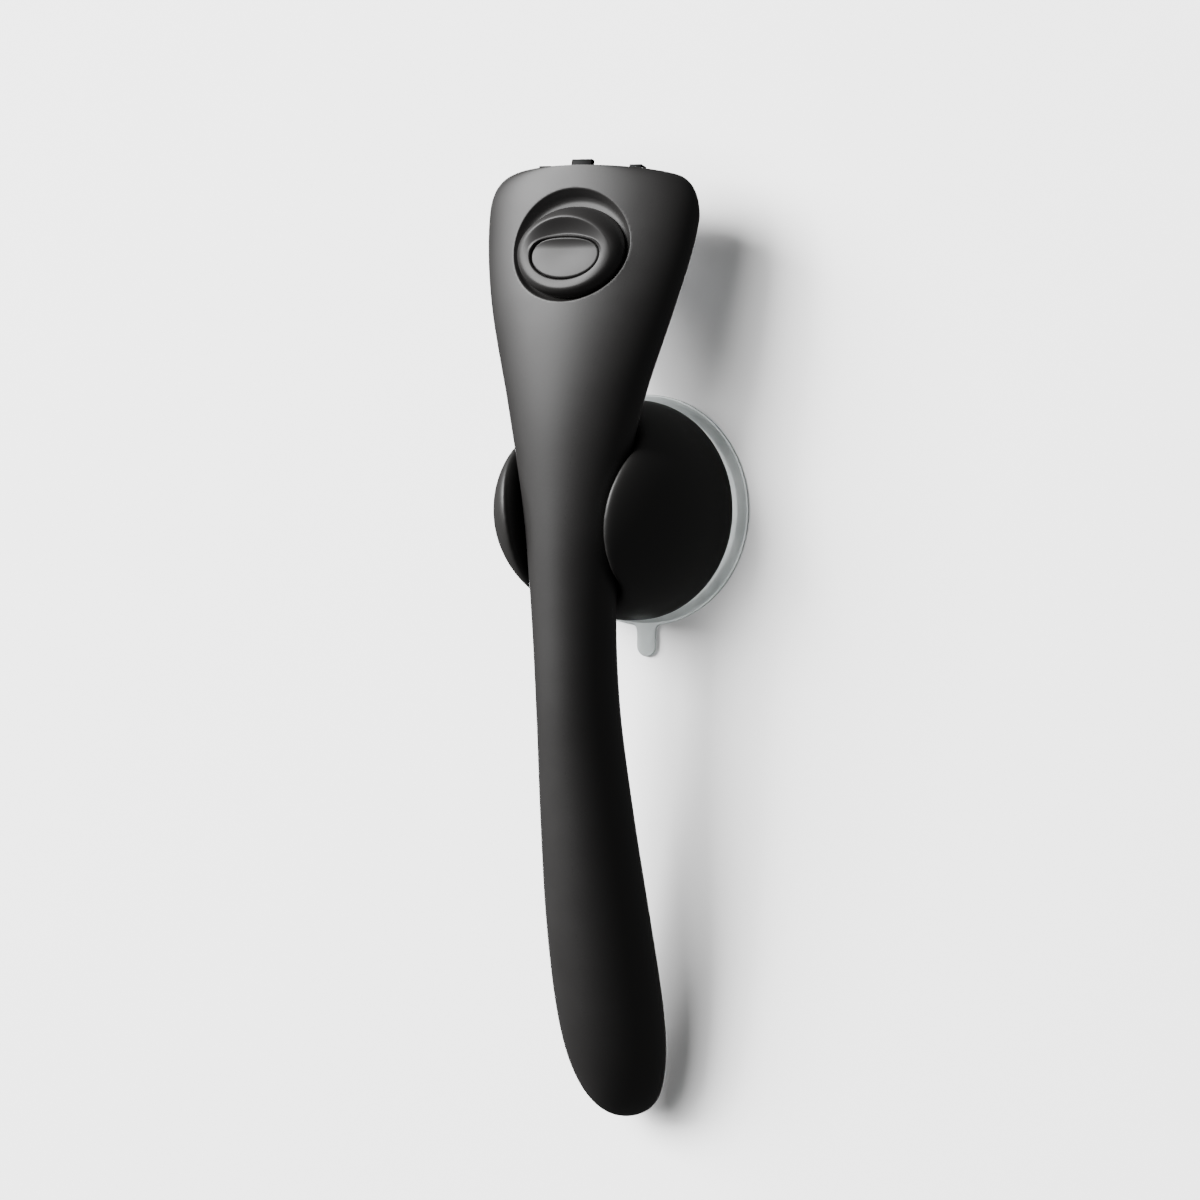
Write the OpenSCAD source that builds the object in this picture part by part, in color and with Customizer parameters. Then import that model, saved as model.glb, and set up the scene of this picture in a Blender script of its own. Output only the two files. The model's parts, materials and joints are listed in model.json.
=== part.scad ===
// Cordless electric can opener that hangs by its neck in a suction-cup wall holder.
// Row frame: the wall is the plane y = 0, the object stands out of it towards -Y, +Z is up.

/* [Handle and head shell] */
// Distance of the whole shell's end cap tip from the holder's centre line, downwards
handle_reach = 151; // [149:0.5:153]
// Wall thickness of the moulded shells
wall = 1.9; // [1.6:0.1:2.2]
// Length of the head, from the head frame's origin to its open end
head_end = 34.1; // [33.4:0.1:34.2]
// Backward lean of the head
head_tilt = 14.5; // [14.5:0.1:14.5]
// How far behind the widest line the two shells part
parting = 4; // [3:0.5:5]

/* [Thumb slider] */
// Half width of the oval recess
recess_rx = 16.5; // [15.5:0.1:17]
// Half height of the oval recess
recess_rz = 14.7; // [14:0.1:15.2]
// Travel of the thumb slider
slider_travel = 2; // [1.5:0.1:2.2]

/* [Gear train] */
// Module of the worm and all spur gears
gear_module = 0.7; // [0.7:0.1:0.7]
// Teeth of the worm wheel
worm_wheel_teeth = 20; // [20:1:20]
// Teeth of both pinions
pinion_teeth = 12; // [12:1:12]
// Teeth of the second gear
second_gear_teeth = 26; // [26:1:26]
// Teeth of the output gear
output_gear_teeth = 22; // [22:1:22]

/* [Cutting mechanism] */
// Radius of the toothed drive wheel
drive_wheel_r = 5.5; // [5:0.1:5.6]
// Radius of the round cutter
cutter_r = 6.5; // [6:0.1:6.6]
// Travel of the engaging slide
engage_travel = 4; // [3:0.5:4]

/* [Wall holder] */
// Largest radius of the domed holder
dome_r = 27.7; // [27:0.1:28]
// Height of the dome's rounded part
dome_h = 35; // [34:0.5:36]
// Radius of the suction cup's lip
cup_r = 29.1; // [28.5:0.1:30]
// Gap between the handle and the holder's channel
channel_gap = 0.5; // [0.4:0.1:0.8]

/* [Hidden] */

$fn = 48;
eps = 0.01;

// ---------- spine and sections of the shell ----------
// Each station: height z, spine's distance from the wall, half width, front and back half depth.
head_z = 50;
head_out = 33.6;
lean = tan(head_tilt);
STATIONS = [
  [-152, 7.5, 15.1, 11.8, 11.4],
  [-140, 13.9, 14.7, 12.6, 12.0],
  [-125, 19.3, 14.0, 12.9, 12.3],
  [-100, 26.3, 13.1, 12.5, 12.0],
  [-75, 31.7, 11.7, 11.6, 11.2],
  [-50, 35.9, 10.5, 10.8, 10.4],
  [-25, 38.2, 10.8, 10.4, 10.0],
  [0, 38.7, 13.0, 10.4, 10.0],
  [25, 37.6, 18.1, 10.8, 10.4],
  [head_z, head_out, 25.3, 11.4, 10.8],
  [68, head_out - 18 * lean, 29.0, 11.5, 11.0],
  [88, head_out - 38 * lean, 29.8, 11.5, 11.0],
];
OUT = 1;
WIDE = 2;
FRONT = 3;
BACK = 4;
section_power = 2;
cap_length = 41;
cap_power = 2.7;
corner_length = 10.5;
corner_drop = 9;
head_top_z = head_z + head_end * cos(head_tilt);

// Cubic Hermite curve through the stations, with slopes from each station's neighbours.
function last() = len(STATIONS) - 1;
function slope(i, c) = let (a = max(i - 1, 0), b = min(i + 1, last()))
  (STATIONS[b][c] - STATIONS[a][c]) / (STATIONS[b][0] - STATIONS[a][0]);
function span_of(z, i = 0) = i >= last() - 1 || z < STATIONS[i + 1][0] ? i : span_of(z, i + 1);
function along(z, c) = let (
    i = span_of(z),
    h = STATIONS[i + 1][0] - STATIONS[i][0],
    t = (z - STATIONS[i][0]) / h
  )
  STATIONS[i][c] * (2 * pow(t, 3) - 3 * pow(t, 2) + 1)
  + slope(i, c) * h * (pow(t, 3) - 2 * pow(t, 2) + t)
  + STATIONS[i + 1][c] * (3 * pow(t, 2) - 2 * pow(t, 3))
  + slope(i + 1, c) * h * (pow(t, 3) - pow(t, 2));
function spine_tilt(z) = atan(along(z - 0.5, OUT) - along(z + 0.5, OUT));

function clamp(v) = min(1, max(0, v));
function sgnpow(v, p) = sign(v) * pow(abs(v), p);
function cap_share(z, tip, length) = let (t = clamp((tip + length - z) / length))
  pow(1 - pow(t, cap_power), 1 / cap_power);
// How far the head's top corners are drawn in: squarer in front, more sloping behind.
function corner_share(z, a) = let (
    u = clamp((z - head_top_z + corner_length) / corner_length),
    power = 1.6 + 1.1 * clamp(2.5 * sin(a) + 0.5)
  )
  corner_drop * (1 - pow(1 - pow(u, power), 1 / power));

// The point at angle a of the section at spine height z, inset by t.
function on_section(z, a, t, tip, length) = let (
    tilt = spine_tilt(z),
    cap = max(0.02, cap_share(z, tip, length)),
    w = (along(z, WIDE) - t) * cap - corner_share(z, a),
    half = sin(a) > 0 ? along(z, FRONT) - t : along(z, BACK) - t,
    d = half * cap * sgnpow(sin(a), 2 / section_power)
  )
  [w * sgnpow(cos(a), 2 / section_power), -(along(z, OUT) + d * cos(tilt)), z + d * sin(tilt)];

// One closed section with n points.
function section(z, t, n, tip, length) =
  [for (k = [0 : n - 1]) on_section(z, 360 * k / n, t, tip, length)];

// The angle at which the parting line lies on a section.
function parting_angle(z, t) = asin(pow(parting / (along(z, BACK) - t), section_power / 2));

// The front or back arc of a section, from parting line to parting line.
function arc(z, t, n, tip, length, front) = let (
    p = parting_angle(z, t),
    from = front ? -p : 180 + p,
    to = front ? 180 + p : 360 - p
  )
  [for (k = [0 : n - 1]) on_section(z, from + (to - from) * k / (n - 1), t, tip, length)];

module loft(rings) {
  n = len(rings[0]);
  m = len(rings);
  points = [for (r = rings) each r];
  sides = [for (i = [0 : m - 2]) for (k = [0 : n - 1]) let (
      a = i * n + k,
      b = i * n + (k + 1) % n
    )
    each [[a, b, b + n], [a, b + n, a + n]]];
  bottom = [[for (k = [n - 1 : -1 : 0]) k]];
  top = [[for (k = [0 : n - 1]) (m - 1) * n + k]];
  polyhedron(points, concat(sides, bottom, top), convexity = 6);
}

// Heights of the rings: dense in the end cap and at the head's corners.
function ring_heights(tip, length, top, rows = 14) = concat(
  [for (i = [0 : 8]) tip + length * (1 - cos(90 * i / 8))],
  [for (i = [1 : rows]) tip + length + (top - corner_length - tip - length) * i / rows],
  [for (i = [1 : 5]) top - corner_length * (1 - sin(90 * i / 5))]
);

// The space inside walls of thickness t above a given height, running out through the head's end.
module inner_form(t, low) {
  tip = t - handle_reach;
  all_heights = concat(ring_heights(tip, cap_length - t, head_top_z), [head_top_z + 3]);
  heights = [for (z = all_heights) if (z > low) z];
  loft([for (z = heights) section(z, t, 28, tip, cap_length - t)]);
}

function quad(a, b, c, d) = [[a, b, c], [a, c, d]];

// A wall between two grids of points that have the same rows and columns.
module skin(outer, inner) {
  m = len(outer);
  n = len(outer[0]);
  q = m * n;
  grids = [for (i = [0 : m - 2]) for (k = [0 : n - 2]) let (a = i * n + k)
    each concat(
      quad(a, a + 1, a + n + 1, a + n),
      quad(q + a + 1, q + a, q + a + n, q + a + n + 1)
    )];
  edges = [for (i = [0 : m - 2]) let (a = i * n, b = a + n - 1)
    each concat(
      quad(q + a, a, a + n, q + a + n),
      quad(b, q + b, q + b + n, b + n)
    )];
  ends = [for (k = [0 : n - 2]) let (a = k, b = (m - 1) * n + k)
    each concat(
      quad(a + 1, a, q + a, q + a + 1),
      quad(b, b + 1, q + b + 1, q + b)
    )];
  points = concat([for (r = outer) each r], [for (r = inner) each r]);
  polyhedron(points, concat(grids, edges, ends), convexity = 6);
}

module half_shell(front, n = 17) {
  tip = -handle_reach;
  length = cap_length;
  skin(
    [for (z = ring_heights(tip, length, head_top_z)) arc(z, 0, n, tip, length, front)],
    [for (z = ring_heights(tip + wall, length - wall, head_top_z))
      arc(z, wall, n, tip + wall, length - wall, front)]
  );
}

// Evaluates its children as one mesh.
module moulded() {
  resize([0, 0, 0]) children();
}

module in_head() {
  translate([0, -head_out, head_z]) rotate([-head_tilt, 0, 0]) children();
}

// A cylinder along the head frame's Y, from y0 to y1, at (x, w).
module pin_y(x, w, r, y0, y1) {
  translate([x, y0, w]) rotate([-90, 0, 0]) cylinder(r = r, h = y1 - y0);
}

module slab(x0, x1, y0, y1, z0, z1) {
  translate([x0, y0, z0]) cube([x1 - x0, y1 - y0, z1 - z0]);
}

// An upright oval block along the head frame's Y.
module oval(rx, rz, y0, y1, sides = 40) {
  translate([0, y1, 0]) rotate([90, 0, 0]) linear_extrude(y1 - y0)
    polygon([for (i = [0 : sides - 1]) let (a = 360 * i / sides) [rx * cos(a), rz * sin(a)]]);
}

// ---------- places in the head frame: [x, w] ----------
recess_w = 13.4;
slider_w = 12.3;
slider_rx = 15;
slider_rz = 11.7;
foot_w = [9, 17];
worm_x = -3;
worm_y = 1.7;
worm_r = 3.2;
wheel_w = 2;
first_at = [worm_x + worm_r + gear_module * worm_wheel_teeth / 2, wheel_w];
drive_at = [0, 21];
first_reach = gear_module * (pinion_teeth + second_gear_teeth) / 2;
second_reach = gear_module * (pinion_teeth + output_gear_teeth) / 2;
to_drive = drive_at - first_at;
turn_first = acos(
  (pow(first_reach, 2) + pow(norm(to_drive), 2) - pow(second_reach, 2))
  / (2 * first_reach * norm(to_drive))
);
angle_12 = atan2(to_drive[1], to_drive[0]) - turn_first;
second_at = first_at + first_reach * [cos(angle_12), sin(angle_12)];
to_output = drive_at - second_at;
angle_23 = atan2(to_output[1], to_output[0]);
arm_at = [12, 7.2];
cutter_at = [0, 6.1];
horn_at = [12, 28];
tab_x = [-3.5, 2.5];
MAGNET_AT = [-14.5, 23.5];
PLATE_SCREWS = [[-11.5, -1], [11.5, -1], [-8, 26.6]];
HOUSING = [[-19.5, 28.6], [19.5, 28.6], [19.5, 12], [13.5, -4], [-13.5, -4], [-19.5, 12]];
POSTS = [[-8.5, 12.5], [-9.5, 27], [9.6, -8.2]];
SHELL_SCREWS = [[-14, -7], [14.5, -10]];
floor_y = -8.2;
layer_1 = [0.4, 3];
layer_2 = [3.4, 5.4];
lid_y = [6.2, 7.2];
tray_y = [-1.4, -0.2];
platform_y = 11.2;
plate_y = [platform_y, platform_y + 1.2];
arm_y = [12.8, 14.8];
shaft_r = 2;
small_shaft_r = 1;
running = 0.05;
press = 0.02;

// ---------- shells ----------
shell_color = [0.11, 0.11, 0.115];
black = [0.05, 0.05, 0.055];
steel = [0.72, 0.73, 0.75];
brass = [0.78, 0.62, 0.3];
nylon = [0.88, 0.87, 0.82];

module front_shell() {
  color(shell_color) difference() {
    union() {
      half_shell(true);
      in_head() {
        translate([0, 0, recess_w]) oval(recess_rx + 1.5, recess_rz + 1.5, -9.2, floor_y + 1.5);
        for (p = SHELL_SCREWS) pin_y(p[0], p[1], 3, -6.2, 2.4);
        slab(-4, 4, -10, -4.9, 28.9, 30);
      }
    }
    in_head() {
      translate([0, 0, recess_w]) oval(recess_rx, recess_rz, -16, floor_y);
      slab(-3.3, 3.3, -9, -5, foot_w[0] - 0.4, foot_w[1] + slider_travel + 0.6);
      for (p = SHELL_SCREWS) pin_y(p[0], p[1], 1.12, -5, 3);
    }
  }
}

// The mechanism housing's outline with rounded corners, grown or shrunk all round.
module housing_outline(grow) {
  hull() for (p = HOUSING)
    translate([p[0] - sign(p[0]) * 3.5, p[1] + (p[1] > 20 ? -3.5 : p[1] < 0 ? 3.5 : 0)])
      circle(3.5 + grow, $fn = 24);
}

module housing_prism(grow, y0, y1) {
  translate([0, y1, 0]) rotate([90, 0, 0]) linear_extrude(y1 - y0) housing_outline(grow);
}

module back_shell() {
  color(shell_color) difference() {
    union() {
      half_shell(false);
      in_head() for (p = SHELL_SCREWS) pin_y(p[0], p[1], 3, 2.6, 6.4);
    }
    window_cut();
    door_opening(0.25);
    in_head() for (p = SHELL_SCREWS) {
      pin_y(p[0], p[1], 1.3, 0, 20);
      pin_y(p[0], p[1], 2.2, 4.4, 20);
    }
  }
}

// The hole in the back wall that the door fills, with a gap all round.
module door_opening(gap) {
  low = door_z[0] - gap;
  high = door_z[1] + gap;
  corners = [[1, 2], [-1, 2], [-1, 30], [1, 30]];
  loft([for (i = [0 : 12]) let (z = low + (high - low) * i / 12, tilt = spine_tilt(z))
    [for (c = corners)
      [c[0] * (door_half + gap), -(along(z, OUT) - c[1] * cos(tilt)), z - c[1] * sin(tilt)]]]);
}

module window_cut() {
  in_head() {
    housing_prism(0.15, 3, 20);
    slab(-5.8, 20.6, 3, 20, 30, 32.4);
  }
}

// The housing that carries the can-opening mechanism and closes the window in the back shell.
module mechanism_housing() {
  color(black) in_head() difference() {
    housing_prism(0, 7.5, platform_y);
    slab(-14, 14, 7, 9.2, -2.2, 26.8);
    pin_y(drive_at[0], drive_at[1], 3.12, 0, 20);
    for (p = PLATE_SCREWS) pin_y(p[0], p[1], 1.25, 6.6, 20);
    for (p = POSTS) pin_y(p[0], p[1], 1.8, 7, 8.2);
    pin_y(arm_at[0], arm_at[1], 1.6, 9.6, 20);
    pin_y(MAGNET_AT[0], MAGNET_AT[1], 1.3, 9, 20);
  }
}

// The back wall's depth behind the spine at x.
function back_depth(z, x, t) =
  (along(z, BACK) - t) * pow(1 - pow(abs(x) / (along(z, WIDE) - t), section_power), 1 / section_power);
function back_row(z, t) = [for (i = [-6 : 6]) let (
    x = door_half * i / 6,
    d = back_depth(z, x, t) * cap_share(z, t - handle_reach, cap_length - t),
    tilt = spine_tilt(z)
  )
  [x, -(along(z, OUT) - d * cos(tilt)), z - d * sin(tilt)]];

door_z = [-127, -45];
door_half = 7.5;
module battery_door() {
  heights = [for (i = [0 : 12]) door_z[0] + (door_z[1] - door_z[0]) * i / 12];
  color(shell_color) skin(
    [for (z = heights) back_row(z, 0)],
    [for (z = heights) back_row(z, wall)]
  );
}

module end_cap() {
  color(black) moulded() {
    difference() {
      union() {
        intersection() {
          inner_form(wall + 0.12, 40);
          in_head() slab(-40, 40, -30, 30, head_end - 1.6, head_end - 0.2);
        }
        in_head() for (side = [-1, 1]) scale([side, 1, 1])
          slab(11.2, 14.6, -5.4, -2.6, head_end - 0.5, head_end + 1.7);
      }
      in_head() {
        slab(tab_x[0] - 0.5, tab_x[1] + engage_travel + 0.5, -10, -7.1, 30, 40);
      }
    }
  }
}

// ---------- thumb slider, lock button and switch ----------
// The button is an oval cut off flat along the top, with round corners.
button_w = 10.5;
button_rx = 9.6;
button_rz = 6.1;
button_top = 4.3;
function button_edge(a) = pow(
  pow(cos(a) * cos(a) / pow(button_rx, 2) + sin(a) * sin(a) / pow(button_rz, 2), 4)
  + pow(max(0, sin(a)) / button_top, 8), -1 / 8);
module button_outline(grow) {
  polygon([for (i = [0 : 47]) let (a = 360 * i / 48, r = button_edge(a) + grow) [r * cos(a), r * sin(a)]]);
}

module button_prism(grow, y0, y1) {
  translate([0, y1, button_w]) rotate([90, 0, 0]) linear_extrude(y1 - y0) button_outline(grow);
}

module thumb_slider() {
  color(shell_color) in_head() moulded() {
    difference() {
      union() {
        intersection() {
          translate([0, 0, slider_w]) oval(slider_rx, slider_rz, -18, floor_y - 0.3);
          translate([0, 14, slider_w + 1.5]) sphere(29.6, $fn = 72);
        }
        slab(-3, 3, floor_y - 0.4, -6.3, foot_w[0], foot_w[1]);
        slab(-6, 6, -6.4, -5.3, 5, 21);
        pin_y(0, 8, 1, -6, -4.2);
      }
      translate([0, -19.5, 6.5]) scale([1.7, 1, 1.35]) sphere(7, $fn = 48);
      button_prism(0.35, -20, -9.4);
    }
  }
}

module lock_button() {
  color(shell_color) in_head() moulded() {
    difference() {
      button_prism(0, -13.4, -10.6);
      translate([0, -21, button_w]) scale([1.9, 1, 1.2]) sphere(8, $fn = 48);
    }
  }
}

module slide_switch() {
  color(black) in_head() difference() {
    slab(-5, 5, -5.1, -2.4, 2, 15);
    slab(-1.3, 1.3, -6, -3.9, 6.6, 11.6);
  }
}

// A round wire wound along +Z: turns from r0 to r1, height h.
module coil(r0, r1, h, turns, wire_r, steps = 12, sides = 6) {
  count = ceil(turns * steps);
  loft([for (i = [0 : count]) let (
      a = 360 * i / steps,
      r = r0 + (r1 - r0) * i / count,
      z = wire_r + (h - 2 * wire_r) * i / count
    )
    [for (k = [0 : sides - 1]) let (b = 360 * k / sides)
      [(r + wire_r * cos(b)) * cos(a), (r + wire_r * cos(b)) * sin(a), z + wire_r * sin(b)]]]);
}

module slider_spring() {
  color(steel) in_head() translate([0, -5.35, 21.1]) coil(1, 1, 7.7, 7, 0.2);
}

// ---------- gear train ----------
pressure = 22;
addendum = 0.85;
dedendum = 1.15;
tooth_share = 0.43;

// Half angle of a tooth at radius r, on an involute flank.
function inv(a) = tan(a) * 180 / PI - a;
function half_tooth(r, teeth) = let (
    rp = gear_module * teeth / 2,
    rb = rp * cos(pressure),
    a = acos(min(1, rb / max(r, rb)))
  )
  360 / teeth * tooth_share / 2 + inv(pressure) - inv(a);

module gear_outline(teeth) {
  rp = gear_module * teeth / 2;
  ra = rp + addendum * gear_module;
  rf = rp - dedendum * gear_module;
  radii = [rf, rp - 0.3 * gear_module, rp + 0.3 * gear_module, ra];
  polygon([for (i = [0 : teeth - 1]) let (c = 360 * i / teeth) each concat(
    [for (r = radii) let (a = c - half_tooth(r, teeth)) [r * cos(a), r * sin(a)]],
    [for (j = [3 : -1 : 0]) let (a = c + half_tooth(radii[j], teeth))
      [radii[j] * cos(a), radii[j] * sin(a)]]
  )]);
}

// A spur gear on the head frame's Y, with one tooth pointing at the given angle in (x, w).
module gear(at, teeth, y0, y1, bore, points_at) {
  translate([at[0], y0, at[1]]) rotate([-90, 0, 0]) difference() {
    rotate([0, 0, -points_at]) linear_extrude(y1 - y0) gear_outline(teeth);
    translate([0, 0, -1]) cylinder(r = bore, h = y1 - y0 + 2);
  }
}

module worm_wheel() {
  color(nylon) in_head()
    gear(first_at, worm_wheel_teeth, layer_1[0], layer_1[1], small_shaft_r + press, 180);
}

module first_pinion() {
  color(nylon) in_head()
    gear(first_at, pinion_teeth, layer_1[1] + 0.1, layer_2[1], small_shaft_r + press, angle_12);
}

module first_shaft() {
  color(steel) in_head() pin_y(first_at[0], first_at[1], small_shaft_r, -1.3, 7.1);
}

module second_gear() {
  color(nylon) in_head() gear(
    second_at, second_gear_teeth, layer_2[0], layer_2[1], small_shaft_r + press,
    angle_12 + 180 + 180 / second_gear_teeth
  );
}

module second_pinion() {
  color(nylon) in_head() gear(
    second_at, pinion_teeth, layer_1[0], layer_2[0] - 0.1, small_shaft_r + press, angle_23
  );
}

module second_shaft() {
  color(steel) in_head() pin_y(second_at[0], second_at[1], small_shaft_r, -1.3, 7.1);
}

module output_gear() {
  color(brass) in_head() gear(
    drive_at, output_gear_teeth, layer_1[0], layer_1[1], shaft_r + press,
    angle_23 + 180 + 180 / output_gear_teeth
  );
}

// Worm: one thread whose gap faces the wheel's tooth at the wheel's height.
worm_pitch = PI * gear_module;
worm_span = [-4, 8];
module worm() {
  root = worm_r - 1.05 * gear_module;
  crest = worm_r + addendum * gear_module;
  wide = 0.6 * worm_pitch;
  narrow = 0.24 * worm_pitch;
  steps = 20;
  turns = 4.5;
  start = wheel_w - 2 * worm_pitch;
  thread = [[crest, -narrow / 2], [crest, narrow / 2], [root - 0.3, wide / 2], [root - 0.3, -wide / 2]];
  color(brass) in_head() translate([worm_x, worm_y, 0]) difference() {
    union() {
      translate([0, 0, worm_span[0]]) cylinder(r = root, h = worm_span[1] - worm_span[0]);
      loft([for (i = [0 : turns * steps]) let (a = 360 * i / steps, z = start + worm_pitch * i / steps)
        [for (q = thread) [-q[0] * cos(a), -q[0] * sin(a), z + q[1]]]]);
    }
    translate([0, 0, -10]) cylinder(r = small_shaft_r + press, h = 30);
  }
}

module motor_shaft() {
  color(steel) in_head() translate([worm_x, worm_y, -34.5])
    cylinder(r = small_shaft_r, h = worm_span[1] + 34.9);
}

motor_span = [-33, -12];
module flat_sided(r, half, z0, z1) {
  intersection() {
    translate([0, 0, z0]) cylinder(r = r, h = z1 - z0);
    slab(-20, 20, -half, half, z0 - 1, z1 + 1);
  }
}

module motor_can() {
  color(steel) in_head() translate([worm_x, worm_y, 0]) difference() {
    union() {
      flat_sided(7, 5.2, motor_span[0] + 2.5, motor_span[1]);
      translate([0, 0, motor_span[1] - eps]) cylinder(r = 3, h = 1 + eps);
    }
    translate([0, 0, -40]) cylinder(r = small_shaft_r + running, h = 60);
    flat_sided(6.5, 4.7, motor_span[0] - 1, motor_span[1] - 1);
  }
}

module motor_magnets() {
  color(black) in_head() translate([worm_x, worm_y, motor_span[0] + 6]) intersection() {
    difference() {
      cylinder(r = 6.45, h = 12);
      translate([0, 0, -1]) cylinder(r = 4.9, h = 14);
    }
    for (side = [0, 1]) mirror([side, 0, 0]) slab(2, 8, -4, 4, 0, 12);
  }
}

module motor_armature() {
  color(steel) in_head() translate([worm_x, worm_y, motor_span[0] + 6.5]) difference() {
    cylinder(r = 4.5, h = 11);
    translate([0, 0, -1]) cylinder(r = small_shaft_r + press, h = 14);
    for (a = [0, 120, 240]) rotate([0, 0, a]) slab(2.2, 6, -0.5, 0.5, -1, 13);
  }
}

module motor_end_bell() {
  color(black) in_head() translate([worm_x, worm_y, 0]) difference() {
    union() {
      flat_sided(7, 5.2, motor_span[0], motor_span[0] + 2.45);
      flat_sided(6.45, 4.65, motor_span[0] + 2, motor_span[0] + 4.5);
    }
    translate([0, 0, -40]) cylinder(r = small_shaft_r + running, h = 30);
  }
}

module plate_outline(extra) {
  hull() {
    for (p = concat([first_at, second_at], POSTS)) translate(p) circle(2.6 + extra, $fn = 32);
    translate(drive_at) circle(3.6 + extra, $fn = 32);
  }
}

module y_plate(y) {
  translate([0, y[1], 0]) rotate([90, 0, 0]) linear_extrude(y[1] - y[0]) plate_outline(0);
}

module gearbox_tray() {
  color(black) in_head() difference() {
    union() {
      y_plate(tray_y);
      for (p = POSTS) pin_y(p[0], p[1], 2, tray_y[0], lid_y[0] - eps);
      slab(-9, 8, tray_y[0], tray_y[1], -10.8, -4);
      slab(worm_x - 6.4, worm_x + 6.4, -3.4, 6.8, -10.9, -9.6);
    }
    slab(worm_x - 4.3, worm_x + 4.3, -2.2, 0.2, -9.6, 8.9);
    translate([worm_x, worm_y, -15]) cylinder(r = 3.1, h = 10);
    for (p = [first_at, second_at]) pin_y(p[0], p[1], small_shaft_r + running, -5, 3);
    pin_y(drive_at[0], drive_at[1], shaft_r + running, -5, 3);
    for (p = POSTS) pin_y(p[0], p[1], 0.8, 1, 10);
  }
}

module gearbox_lid() {
  color(black) in_head() difference() {
    y_plate(lid_y);
    for (p = [first_at, second_at]) pin_y(p[0], p[1], small_shaft_r + running, 0, 10);
    pin_y(drive_at[0], drive_at[1], 3.3, 0, 10);
    for (p = POSTS) pin_y(p[0], p[1], 1, 0, 10);
  }
}

// A pan-head screw along Y: its head's flat face is at y.
module screw_y(p, y, r, reach, head_r, head_h) {
  pin_y(p[0], p[1], r, y - reach, y + eps);
  translate([p[0], y, p[1]]) rotate([-90, 0, 0]) difference() {
    cylinder(r = head_r, h = head_h);
    for (turn = [0, 90]) rotate([0, 0, turn])
      translate([0, 0, head_h]) cube([head_r * 1.2, 0.4, 0.9], center = true);
  }
}

module gearbox_screws() {
  color(steel) in_head() for (p = POSTS) screw_y(p, lid_y[1] + 0.02, 0.75, 4.5, 1.5, 0.7);
}

// ---------- drive and cutter ----------
module drive_shaft() {
  color(steel) in_head() difference() {
    pin_y(drive_at[0], drive_at[1], shaft_r, -1.3, 19);
    pin_y(drive_at[0], drive_at[1], 0.85, 14.5, 20);
  }
}

drive_teeth = 24;
module drive_wheel() {
  color(steel) in_head() translate([drive_at[0], 14.4, drive_at[1]]) rotate([-90, 0, 0]) difference() {
    union() {
      linear_extrude(3.6) polygon([for (i = [0 : 2 * drive_teeth - 1])
        (drive_wheel_r - (i % 2) * 0.75) * [cos(180 * i / drive_teeth), sin(180 * i / drive_teeth)]]);
      translate([0, 0, -0.9]) cylinder(r = 3.6, h = 1);
    }
    translate([0, 0, -2]) cylinder(r = shaft_r + press, h = 8);
  }
}

module drive_wheel_screw() {
  color(steel) in_head() screw_y(drive_at, 19.02, 0.8, 4, 3, 1.1);
}

module drive_bush() {
  color(brass) in_head() difference() {
    union() {
      pin_y(drive_at[0], drive_at[1], 3.1, 6.4, 12.5);
      pin_y(drive_at[0], drive_at[1], 4.2, plate_y[1], 13.2);
    }
    pin_y(drive_at[0], drive_at[1], shaft_r + running, 0, 20);
  }
}

module mechanism_plate() {
  color(steel) in_head() difference() {
    housing_prism(-0.8, plate_y[0], plate_y[1]);
    pin_y(drive_at[0], drive_at[1], 3.12, 0, 20);
    pin_y(arm_at[0], arm_at[1], 1.5 + press, 0, 20);
    pin_y(MAGNET_AT[0], MAGNET_AT[1], 1.3, 0, 20);
    for (p = PLATE_SCREWS) pin_y(p[0], p[1], 1.4, 0, 20);
  }
}

module plate_screws() {
  color(steel) in_head() for (p = PLATE_SCREWS) screw_y(p, plate_y[1] + 0.02, 1.2, 3.1, 2.3, 1.3);
}

module can_guide() {
  color(black) in_head() slab(-17.5, -8, plate_y[1] + 0.02, 15, 11.5, 16);
}

module arm_bar(a, b, ra, rb) {
  translate([0, arm_y[1], 0]) rotate([90, 0, 0]) linear_extrude(arm_y[1] - arm_y[0]) hull() {
    translate(a) circle(ra, $fn = 32);
    translate(b) circle(rb, $fn = 32);
  }
}

module cutter_arm() {
  color(steel) in_head() difference() {
    union() {
      arm_bar(arm_at, cutter_at, 4, 3.4);
      arm_bar(arm_at, horn_at, 4, 2.4);
      pin_y(horn_at[0], horn_at[1], 1.2, arm_y[1] - 1, 16.9);
    }
    pin_y(arm_at[0], arm_at[1], 1.5 + running, 10, 20);
    pin_y(cutter_at[0], cutter_at[1], 1.5 + press, 10, 20);
  }
}

module arm_pivot() {
  color(steel) in_head() {
    pin_y(arm_at[0], arm_at[1], 1.5, 10, 15.1);
    pin_y(arm_at[0], arm_at[1], 2.7, 15, 15.8);
  }
}

module cutter_axle() {
  color(steel) in_head() {
    pin_y(cutter_at[0], cutter_at[1], 1.5, arm_y[0], 17.5);
    pin_y(cutter_at[0], cutter_at[1], 2.6, 17.4, 18.2);
  }
}

module cutter_wheel() {
  color(steel) in_head() translate([cutter_at[0], 15, cutter_at[1]]) rotate([-90, 0, 0])
    rotate_extrude() polygon([
      [1.5 + running, 0], [3, 0], [3, 0.6], [cutter_r - 1.6, 0.7], [cutter_r, 1.3],
      [cutter_r - 1.6, 1.9], [3, 2], [3, 2.3], [1.5 + running, 2.3]
    ]);
}

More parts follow.
